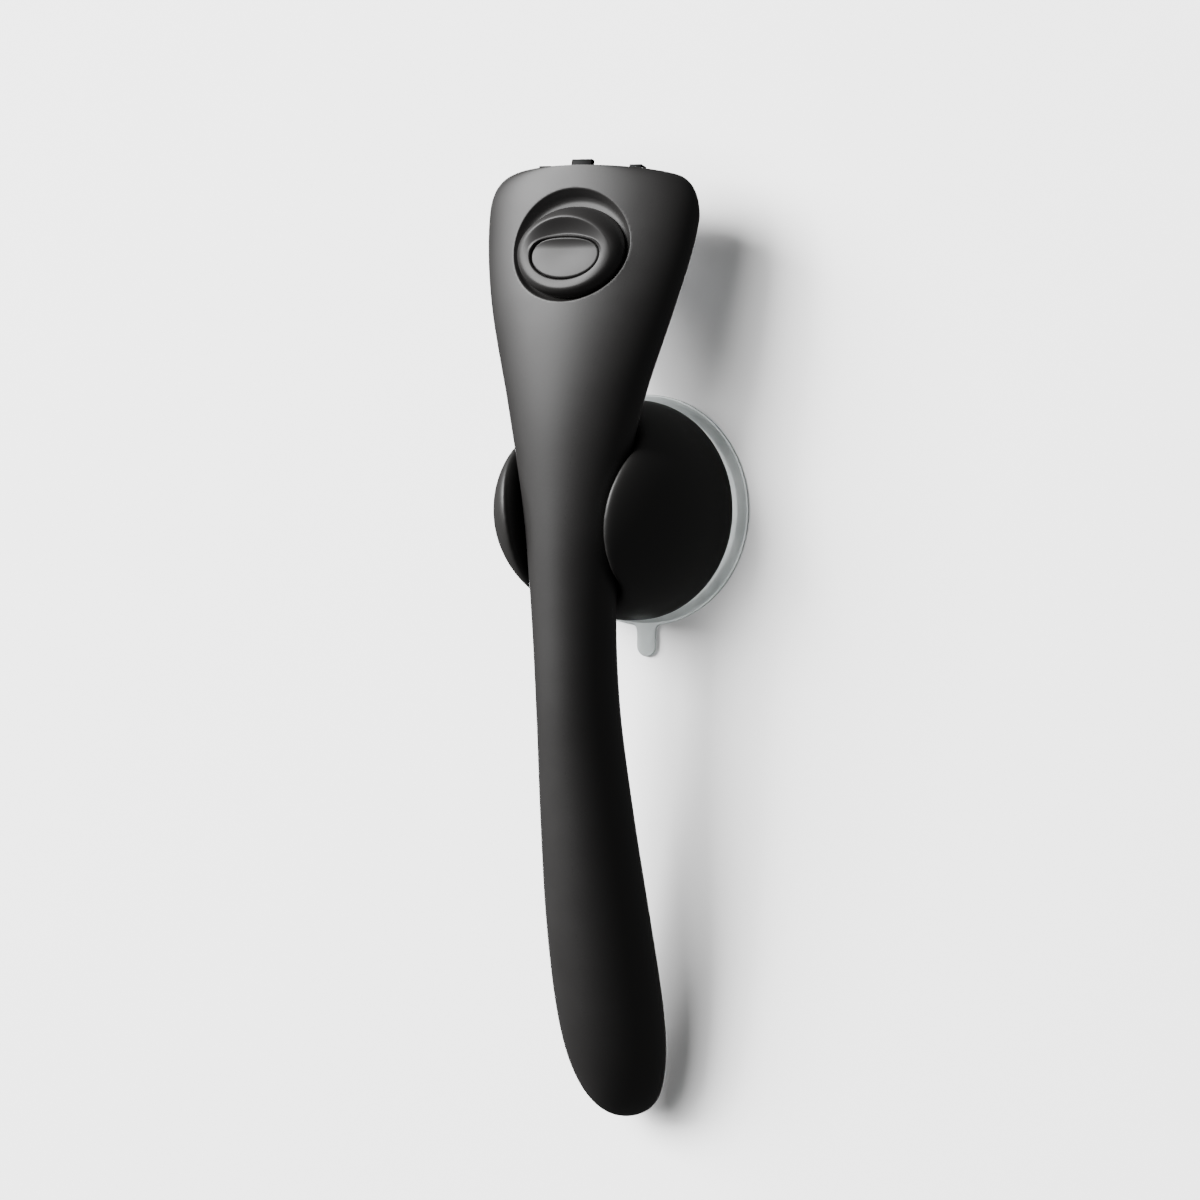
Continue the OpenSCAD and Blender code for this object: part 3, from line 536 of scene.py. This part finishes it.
def bowl_tool(shell):
    """The hollow round the thumb slider: a rounded rim, a sloping wall and a flat floor."""
    surface = BVHTree.FromObject(shell, bpy.context.evaluated_depsgraph_get())
    ahead = Vector((0, math.cos(HEAD_TILT), -math.sin(HEAD_TILT)))

    def face(x, w):
        start = Vector(from_head(np.array([x, -30.0, w]))) * MM
        return to_head(np.array(surface.ray_cast(start, ahead)[0]) / MM)[1]

    rim = [(1.0, -3.0), (1.0, -0.16)]
    for turn in np.radians([20, 30, 40, 50, 60, 70]):
        rim.append((RIM_ROUND * (1 - math.sin(turn)), RIM_ROUND * (1 - math.cos(turn))))
    rings = []
    for angle in np.linspace(0, 2 * math.pi, 288, False):
        column = []
        for grow, depth in rim:
            x, w = oval_point(RECESS, angle, grow)
            column.append((x, face(x, w) + depth, w))
        top = Vector(column[-1])
        x, w = oval_point(RECESS_FLOOR, angle)
        foot = Vector((x, -FLOOR, w))
        x, w = oval_point(RECESS_FLOOR, angle, -FOOT_ROUND)
        end = Vector((x, -FLOOR, w))
        bend = foot + (top - foot) * min(0.5, FOOT_ROUND / (top - foot).length)
        column += [top.lerp(bend, t) for t in (0.25, 0.5, 0.75, 1.0)]
        column += [bend.lerp(foot, t).lerp(foot.lerp(end, t), t) for t in np.linspace(0.14, 1, 7)]
        column += [end.lerp(Vector((0, -FLOOR, RECESS_FLOOR["w"])), t) for t in (0.3, 0.7)]
        rings.append([tuple(point) for point in column])
    return polar_object("bowl", np.array(rings).transpose(1, 0, 2))


def front_shell():
    outer, inner = half_shell_grids(True, 130)
    deep = to_head(inner)
    behind = (oval_share(deep[..., 0], deep[..., 2], RECESS) < 1.08) & (deep[..., 1] < -4)
    deep[..., 1] = np.where(behind, np.maximum(deep[..., 1], BEHIND_BOWL), deep[..., 1])
    obj = skin("front_shell_skin", outer, from_head(deep))
    stem_slot = prism("slot", rounded(box_outline(-3.3, 8.6, 3.3, 19.6), 0.6), -9, -5)
    combine(obj, [bowl_tool(obj), stem_slot], "DIFFERENCE")
    stand_for(obj, "front_shell")


def tube_faces(rows, columns):
    """Faces of a tube of rings that is closed flat at both ends."""
    ends = [list(range(columns)), [rows * columns - 1 - i for i in range(columns)]]
    return list(grid_faces(rows, columns, wrap=True)) + ends


def opening_tool():
    """The block of space behind the spine that the battery door fills."""
    z = np.linspace(DOOR_Z[0] - DOOR_GAP, DOOR_Z[1] + DOOR_GAP, 60)
    tilt, out = spine_tilt(z), along(z, OUT)
    half, near, far = DOOR_HALF + DOOR_GAP, 2, 30
    edges = []
    for x, depth in ((half, near), (-half, near), (-half, far), (half, far)):
        y = -(out - depth * np.cos(tilt))
        edges.append(np.stack([np.full_like(z, x), y, z - depth * np.sin(tilt)], -1))
    rings = np.stack(edges, 1)
    return closed_object("opening", rings.reshape(-1, 3), tube_faces(len(z), 4))


def back_shell():
    outer, inner = half_shell_grids(False, 110)
    obj = skin("back_shell_skin", outer, inner)
    grown = [(x * 1.01, w * 1.01 - 0.1) for x, w in HOUSING]
    tools = [
        prism("window", rounded(grown, 3.6), 3, 20),
        prism("slide_way", rounded(box_outline(-5.8, 30, 20.6, 32.4), 0.6), 3, 20),
        opening_tool(),
    ]
    for x, w in SHELL_SCREWS:
        tools.append(prism("screw_well", circle(x, w, 2.3), 4.4, 20))
    combine(obj, tools, "DIFFERENCE", 30)
    posts = [prism("post", circle(x, w, 3), 2.6, 5.2) for x, w in SHELL_SCREWS]
    combine(obj, posts, "UNION", 30)
    bores = [prism("bore", circle(x, w, 1.3), 0, 8) for x, w in SHELL_SCREWS]
    combine(obj, bores, "DIFFERENCE", 30)
    stand_for(obj, "back_shell")


def battery_door():
    """The cover over the cells, with a ribbed thumb grip near its upper end."""
    rows, columns = 200, 41
    grip_low, grip_high, grip_half, rib_pitch, rib_depth = -63, -50, 5.6, 2.6, 0.55
    z = np.linspace(*DOOR_Z, rows)[:, None]
    x = np.linspace(-DOOR_HALF, DOOR_HALF, columns)[None, :]
    x = np.broadcast_to(x, (rows, columns))
    edge = np.zeros((rows, columns))
    edge[[0, -1], :] = GROOVE
    edge[:, [0, -1]] = GROOVE
    grip = smooth((grip_half - abs(x)) / 1.2) * smooth(z - grip_low) * smooth(grip_high - z)
    ribs = grip * (0.5 - 0.5 * np.cos(2 * math.pi * (z - grip_low) / rib_pitch)) * rib_depth
    grids = []
    for inset, dent in ((0, edge + ribs), (WALL, 0)):
        share = cap_share(z, inset - REACH, CAP_LENGTH - inset)
        wide = (along(z, WIDE) - inset) * share
        depth = (along(z, BACK) - inset) * share * np.sqrt(1 - (x / wide) ** 2) - dent
        tilt = spine_tilt(z)
        grids.append(np.stack([x, -(along(z, OUT) - depth * np.cos(tilt)), z - depth * np.sin(tilt)], -1))
    stand_for(skin("battery_door_skin", *grids), "battery_door")


# ---------------------------------------------------------------- thumb slider and button
CROWN_R, CROWN_BACK, CROWN_UP = 29.6, 14, 1.5
POCKET_GAP, POCKET_FLOOR, POCKET_LIP = 0.22, 9.5, 0.34
BUTTON_BACK, BUTTON_FACE, BUTTON_ROUND = 10.6, 12.6, 0.55
AROUND = np.linspace(0, 2 * math.pi, 240, False)


def button_edge(angle, grow=0.0):
    """Radius of the button's outline: an oval cut off flat along the top."""
    oval = np.cos(angle) ** 2 / BUTTON["rx"] ** 2 + np.sin(angle) ** 2 / BUTTON["rz"] ** 2
    flat = np.maximum(0, np.sin(angle)) / BUTTON["top"]
    return (oval**2 + flat**4) ** (-1 / 4) + grow


def dome_height(x, w):
    """Height of the slider's ball-shaped crown in front of the spine."""
    return -CROWN_BACK + np.sqrt(CROWN_R**2 - x**2 - (w - SLIDER["w"] - CROWN_UP) ** 2)


def slider_height(x, w):
    """Height of the slider's face: a dome with a brow, and a scoop below it that holds the button."""
    dome = dome_height(x, w) - 0.1
    scoop = 12.55 - 0.0035 * x**2 - 0.006 * (w - 9) ** 2
    depth = np.clip((1 - oval_share(x, w, SCOOP)) / 0.45, 0, 1)
    depth = np.clip(np.sqrt(depth**2 + 0.002) - 0.0447, 0, 1)
    height = dome + (np.minimum(scoop, dome) - dome) * (1 - (1 - depth) ** 1.6)
    angle = np.arctan2(w - BUTTON_W, x)
    off = np.hypot(x, w - BUTTON_W) - button_edge(angle)
    bead = 0.5 * np.exp(-(((off - 0.55) / 0.38) ** 2)) * smooth(2.2 * np.sin(angle))
    height = height + bead
    above = smooth((w - SLIDER["w"]) / SLIDER["rz"] / 0.8)
    start, power = 0.85 - 0.2 * above, 2.4 - 0.9 * above
    roll = np.clip((oval_share(x, w, SLIDER) - start) / (1 - start), 0, 1)
    return FLOOR + 0.6 + (height - FLOOR - 0.6) * (1 - roll**power) ** (1 / power)


def slider_reach(angle):
    """Distance from the button's centre to the slider's oval edge along each angle."""
    a = (np.cos(angle) / SLIDER["rx"]) ** 2 + (np.sin(angle) / SLIDER["rz"]) ** 2
    off = BUTTON_W - SLIDER["w"]
    b = 2 * off * np.sin(angle) / SLIDER["rz"] ** 2
    c = (off / SLIDER["rz"]) ** 2 - 1
    return (-b + np.sqrt(b * b - 4 * a * c)) / (2 * a)


def polar_object(name, rings):
    """Closed solid from rings of points in the head frame; the first and last close to a point."""
    n = len(rings[0])
    faces = [list(f) for f in grid_faces(len(rings), n, wrap=True)]
    first, last = len(rings) * n, len(rings) * n + 1
    points = np.concatenate([*rings, rings[0].mean(0)[None], rings[-1].mean(0)[None]])
    end = (len(rings) - 1) * n
    faces += [[first, i, (i + 1) % n] for i in range(n)]
    faces += [[last, end + (i + 1) % n, end + i] for i in range(n)]
    return closed_object(name, from_head(points), faces)


def ring(radius, height):
    """A ring round the button's centre; height is a number or a function of x and w."""
    x = radius * np.cos(AROUND)
    w = BUTTON_W + radius * np.sin(AROUND)
    y = -height(x, w) if callable(height) else np.full_like(x, -height)
    return np.stack([x, y, w], -1)


def thumb_slider():
    """The slider's dome with the button's pocket, and the stem and keeper that hold it in the shell."""
    inner, outer = button_edge(AROUND, POCKET_GAP), slider_reach(AROUND)
    rings = [ring(inner * t, POCKET_FLOOR) for t in (0.3, 0.7, 1.0)]
    for out, fall in ((0, 0.4), (0.07, 0.2), (0.18, 0.07), (POCKET_LIP, 0)):
        rings.append(ring(inner + out, lambda x, w, fall=fall: slider_height(x, w) - fall))
    inner = inner + POCKET_LIP
    t = np.concatenate([np.linspace(0.03, 0.8, 52), 1 - 0.2 * (1 - np.linspace(0, 1, 26)[1:]) ** 2])
    rings += [ring(inner + (outer - inner) * s, slider_height) for s in t]
    seat = FLOOR + 0.3
    rings += [ring(outer * s, seat) for s in (0.99, 0.9, 0.5, 0.2)]
    obj = polar_object("thumb_slider_dome", rings)
    stem = prism("stem", rounded(box_outline(-3, 9, 3, 17), 0.5), -9.2, -6)
    keeper = prism("keeper", rounded(box_outline(-6, 5, 6, 21), 0.8), -6.4, -5.3)
    pin = prism("pin", circle(0, 8, 1), -5.6, -4.2)
    combine(obj, [stem, keeper, pin], "UNION")
    stand_for(obj, "thumb_slider")


def lock_button():
    """The dished pad in the slider's pocket."""
    rim = button_edge(AROUND)

    def face(x, w):
        share = np.hypot(x / BUTTON["rx"], (w - BUTTON_W) / BUTTON["rz"])
        rise = 0.11 * np.maximum(0, w - BUTTON_W - 1.4) ** 2
        return BUTTON_FACE - 0.25 * (1 - smooth(share / 0.9)) - 0.003 * x**2 + rise

    rings = [ring(rim * t, BUTTON_BACK) for t in (0.4, 0.96, 1.0)]
    for t in np.linspace(0, 1, 8)[1:]:
        fall = BUTTON_ROUND * (1 - math.sin(t * math.pi / 2))
        inset = BUTTON_ROUND * (1 - math.cos(t * math.pi / 2))
        rings.append(ring(rim - inset, lambda x, w, fall=fall: face(x, w) - fall))
    rings += [ring((rim - BUTTON_ROUND) * t, face) for t in np.linspace(0.97, 0.04, 26)]
    stand_for(polar_object("lock_button_pad", rings), "lock_button")


# ---------------------------------------------------------------- wall holder
DOME_R, DOME_H, DOME_BASE, SHOULDER, DOME_POWER = 27.7, 37.5, 5.8, 16, 2.2
DOME_RIM = 0.6
CUP_TOP = 7.15
CUP_R = 29.1
CHANNEL_GAP = 0.5
HOLLOW_R = 25.1
HOLLOW_END = 22.6
POST_RING = 21
# the dome's edges are smoothed from this distance off the wall, fully so after a further RELAX_OVER
RELAX_FROM, RELAX_OVER = 9.5, 4


def revolve(name, profile, sides=160):
    """Turns a profile of (radius, distance from the wall) round the wall's normal."""
    angle = np.linspace(0, 2 * math.pi, sides, False)
    rings = [np.stack([r * np.cos(angle), np.full(sides, -d), r * np.sin(angle)], -1) for r, d in profile]
    return closed_object(name, np.concatenate(rings), tube_faces(len(rings), sides))


def dome_profile():
    """Radius and distance from the wall: a small round at the base, then a squarish dome."""
    profile = []
    for a in np.linspace(0, math.pi / 2, 6):
        radius = DOME_R - DOME_RIM + DOME_RIM * math.sin(a)
        profile.append((radius, DOME_BASE + DOME_RIM - DOME_RIM * math.cos(a)))
    power = 2 / DOME_POWER
    for degrees in np.linspace(0, 88.5, 60):
        a = math.radians(degrees)
        profile.append((DOME_R * math.cos(a) ** power, SHOULDER + DOME_H * math.sin(a) ** power))
    return profile


def channel_tool():
    """The space in which the neck lies, open to the front."""
    z = np.linspace(-36, 36, 73)
    angle = np.linspace(math.pi, 2 * math.pi, 61)
    back = on_section(z[:, None], angle[None, :], -CHANNEL_GAP, 0)
    wide = along(z, WIDE) + CHANNEL_GAP
    ahead = np.full_like(z, -80)
    front = np.stack([np.stack([wide, ahead, z], -1), np.stack([-wide, ahead, z], -1)], 1)
    rings = np.concatenate([front, back], 1)
    return closed_object("channel", rings.reshape(-1, 3), tube_faces(*rings.shape[:2]))


def holder_body():
    """The dome with its channel, its front edges rounded by smoothing, hollow behind with four posts."""
    obj = revolve("holder_dome", dome_profile())
    combine(obj, [channel_tool()], "DIFFERENCE")
    remesh = obj.modifiers.new("even", "REMESH")
    remesh.mode = "VOXEL"
    remesh.voxel_size = 0.36 * MM
    apply_modifiers(obj, ALL_SMOOTH)
    front = obj.vertex_groups.new(name="front")
    for vertex in obj.data.vertices:
        share = float(smooth((-vertex.co.y / MM - RELAX_FROM) / RELAX_OVER))
        if share > 0:
            front.add([vertex.index], share, "REPLACE")
    relax = obj.modifiers.new("relax", "SMOOTH")
    relax.factor = 0.6
    relax.iterations = 520
    relax.vertex_group = "front"
    apply_modifiers(obj, ALL_SMOOTH)
    hollow = revolve("hollow", [(HOLLOW_R, DOME_BASE - 1), (HOLLOW_R, HOLLOW_END)], 96)
    combine(obj, [hollow], "DIFFERENCE", 70)
    posts = []
    for a in np.radians([45, 135, 225, 315]):
        outline = circle(POST_RING * math.cos(a), POST_RING * math.sin(a), 3, 32)
        posts.append(prism("post", outline, -22.8, -9.5, head=False))
    combine(obj, posts, "UNION", 70)
    stand_for(obj, "holder_body")


def tab_outline():
    """A tongue with a round end, joined to the cup's rim by a fillet on each side."""
    root, root_half, half, end, fillet = -27.5, 5.6, 2.6, -34.2, 2.2
    right = [(root_half, root), (root_half, root - 0.6)]
    for a in np.linspace(0.2, 1.57, 8):
        right.append((half + fillet - fillet * math.sin(a), root - 0.9 - fillet + fillet * math.cos(a)))
    tip = [(half * math.cos(a), end - half * math.sin(a)) for a in np.linspace(0, math.pi, 21)]
    return right + tip + [(-x, w) for x, w in reversed(right)]


def suction_cup():
    """Soft cup with a thin rolled lip, and a rounded tab to peel it off the wall by."""
    under = [(3.3, 0), (3.6, 0.3), (4.4, 2.5), (5.2, 2.95), (12, 2.9), (17, 2.6), (21, 2.2), (24, 1.1),
             (24.6, 0.15), (24.9, 0)]
    over = [(CUP_R - 0.2, 0.0), (CUP_R, 0.2), (CUP_R, 0.5), (CUP_R - 0.12, 0.68), (CUP_R - 0.45, 0.72),
            (CUP_R - 0.65, 0.95), (CUP_R - 1.0, 1.7), (CUP_R - 1.95, 3.6), (CUP_R - 2.9, 5.2),
            (CUP_R - 4.1, 5.6), (CUP_R - 4.2, CUP_TOP)]
    obj = revolve("suction_cup_vinyl", under + over, 200)
    head_pocket = revolve("head_pocket", [(6, 3.6), (6, 5.0)], 48)
    stud_hole = revolve("stud_hole", [(2.5, 4.9), (2.5, 9)], 48)
    combine(obj, [head_pocket, stud_hole], "DIFFERENCE", 40)
    tab = prism("tab", tab_outline(), -1.0, -0.02, head=False)
    add_bevel(tab, 0.25)
    apply_modifiers(tab)
    combine(obj, [tab], "UNION", 40)
    stand_for(obj, "suction_cup")


# ---------------------------------------------------------------- the rest
# CAD nodes shown as they are, with edges rounded by this many mm
SOFT_EDGES = {
    "mechanism_housing": 0.45, "end_cap": 0.3, "mechanism_plate": 0.2, "cutter_arm": 0.25,
    "engage_slide": 0.35, "can_guide": 0.5, "magnet_cup": 0.3, "lid_magnet": 0.25,
    "cutter_axle": 0.2, "arm_pivot": 0.2, "drive_wheel_screw": 0.15, "plate_screws": 0.15,
    "shell_screws": 0.15, "holder_base": 0.4,
    "motor_can": 0.4, "motor_end_bell": 0.4, "battery_upper": 0.5, "battery_lower": 0.5,
    "gearbox_tray": 0.15, "gearbox_lid": 0.2, "slide_switch": 0.25, "stud_nut": 0.2,
}


def slider_spring():
    """The return spring, shown as the CAD coil on a mesh of its own; nothing here makes it shorten as the
    thumb slider is pushed up.
    """
    obj = copy_node("slider_spring", "slider_spring_coil")
    stand_for(obj, "slider_spring")
    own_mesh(obj)


def carry_over():
    """Softens the edges of the plain CAD nodes, and gives every CAD node its material."""
    for node, width in SOFT_EDGES.items():
        stand_for(soften(node, width), node)
    for node, obj in NODES.items():
        dress(obj, SLOTS[node])


# ---------------------------------------------------------------- surroundings
WALL_GLOW = 0.12
AZIMUTH = math.radians(29)
VIEW = Vector((math.sin(AZIMUTH), -math.cos(AZIMUTH), 0))


def wall_material():
    """Pale matt paint that also glows a little, and is clear from behind."""
    material, tree, bsdf = shader("pale_wall")
    clouds = noise(tree, object_coordinates(tree), 30, 4)
    tree.links.new(two_tone(tree, clouds, (0.80, 0.80, 0.80), (0.81, 0.81, 0.81)), bsdf.inputs["Base Color"])
    bsdf.inputs["Roughness"].default_value = 0.9
    bsdf.inputs["Specular IOR Level"].default_value = 0.1
    bsdf.inputs["Emission Color"].default_value = (1, 1, 1, 1)
    bsdf.inputs["Emission Strength"].default_value = WALL_GLOW
    clear = tree.nodes.new("ShaderNodeBsdfTransparent")
    behind = tree.nodes.new("ShaderNodeNewGeometry").outputs["Backfacing"]
    mix_shaders(tree, behind, bsdf.outputs["BSDF"], clear.outputs["BSDF"], "Material Output")
    return material


def wall():
    """The backdrop, just behind the suction cup. It is kept out of the model's lighting."""
    half, y = 2500, 0.3
    points = [(-half, y, -half), (half, y, -half), (half, y, half), (-half, y, half)]
    obj = mesh_object("wall", points, [[0, 1, 2, 3]])
    obj.data.materials.append(wall_material())
    obj.visible_glossy = False
    obj.visible_diffuse = False
    obj.visible_shadow = False
    return obj


def aim(obj, place, direction):
    obj.location = place
    obj.rotation_mode = "QUATERNION"
    obj.rotation_quaternion = direction.to_track_quat("-Z", "Y")


def area_light(name, place, target, size, energy, receivers):
    """A soft box that lights only the receivers."""
    data = bpy.data.lights.new(name, "AREA")
    data.shape = "RECTANGLE"
    data.size, data.size_y = size
    data.energy = energy
    obj = add_object(name, data)
    aim(obj, Vector(place), Vector(target) - Vector(place))
    lit = bpy.data.collections.new(name + "_lights")
    for receiver in receivers:
        lit.objects.link(receiver)
    obj.light_linking.receiver_collection = lit


def light(backdrop):
    """A key light high on the left, a faint strip and a light behind for the model; three for the wall."""
    model = [obj for obj in bpy.context.scene.objects if obj.type == "MESH" and obj is not backdrop]
    # the light behind leaves out the wall holder, apart from its suction cup
    opener = [obj for obj in model if not obj.name.startswith(("holder", "cup_stud", "stud_nut"))]
    middle = Vector((0, -0.03, 0))
    area_light("key", (-1.75, -1.55, 1.4), middle, (1.9, 1.3), 165, model)
    area_light("edge", (-1.9, -0.35, 0.6), middle, (0.7, 1.2), 5, model)
    area_light("behind", middle - VIEW * 2.4 + Vector((0, 0, 0.2)), middle, (1.2, 1.2), 70, opener)
    area_light("wall_wash", (-0.35, -1.5, 0.25), middle, (1.2, 1.2), 47, [backdrop])
    area_light("wall_side", (-1.35, -3.0, 1.2), middle, (1.8, 1.8), 268, [backdrop])
    area_light("wall_rake", (-3.1, -3.1, 1.6), middle, (2.6, 2.6), 510, [backdrop])
    dim_world()


def dim_world():
    """Lights faintly, but looks pale grey to the camera."""
    world = bpy.data.worlds.new("studio")
    bpy.context.scene.world = world
    world.use_nodes = True
    tree = world.node_tree
    glow = tree.nodes["Background"]
    glow.inputs["Color"].default_value = (1, 1, 1, 1)
    glow.inputs["Strength"].default_value = 0.09
    seen = tree.nodes.new("ShaderNodeBackground")
    seen.inputs["Color"].default_value = (0.83, 0.83, 0.83, 1)
    to_camera = tree.nodes.new("ShaderNodeLightPath").outputs["Is Camera Ray"]
    mix_shaders(tree, to_camera, glow.outputs["Background"], seen.outputs["Background"], "World Output")


def camera():
    """A long lens, level with the neck, 29 degrees round to the right."""
    distance, frame_size, sensor = 3.0, 0.3, 36
    target = Vector((0.0001, -0.025, -0.0226))
    data = bpy.data.cameras.new("camera")
    data.sensor_width = sensor
    data.lens = sensor * distance / frame_size
    data.clip_end = 20
    obj = add_object("camera", data)
    aim(obj, target + VIEW * distance, -VIEW)
    bpy.context.scene.camera = obj


camera()
front_shell()
back_shell()
battery_door()
thumb_slider()
lock_button()
holder_body()
suction_cup()
slider_spring()
carry_over()
light(wall())
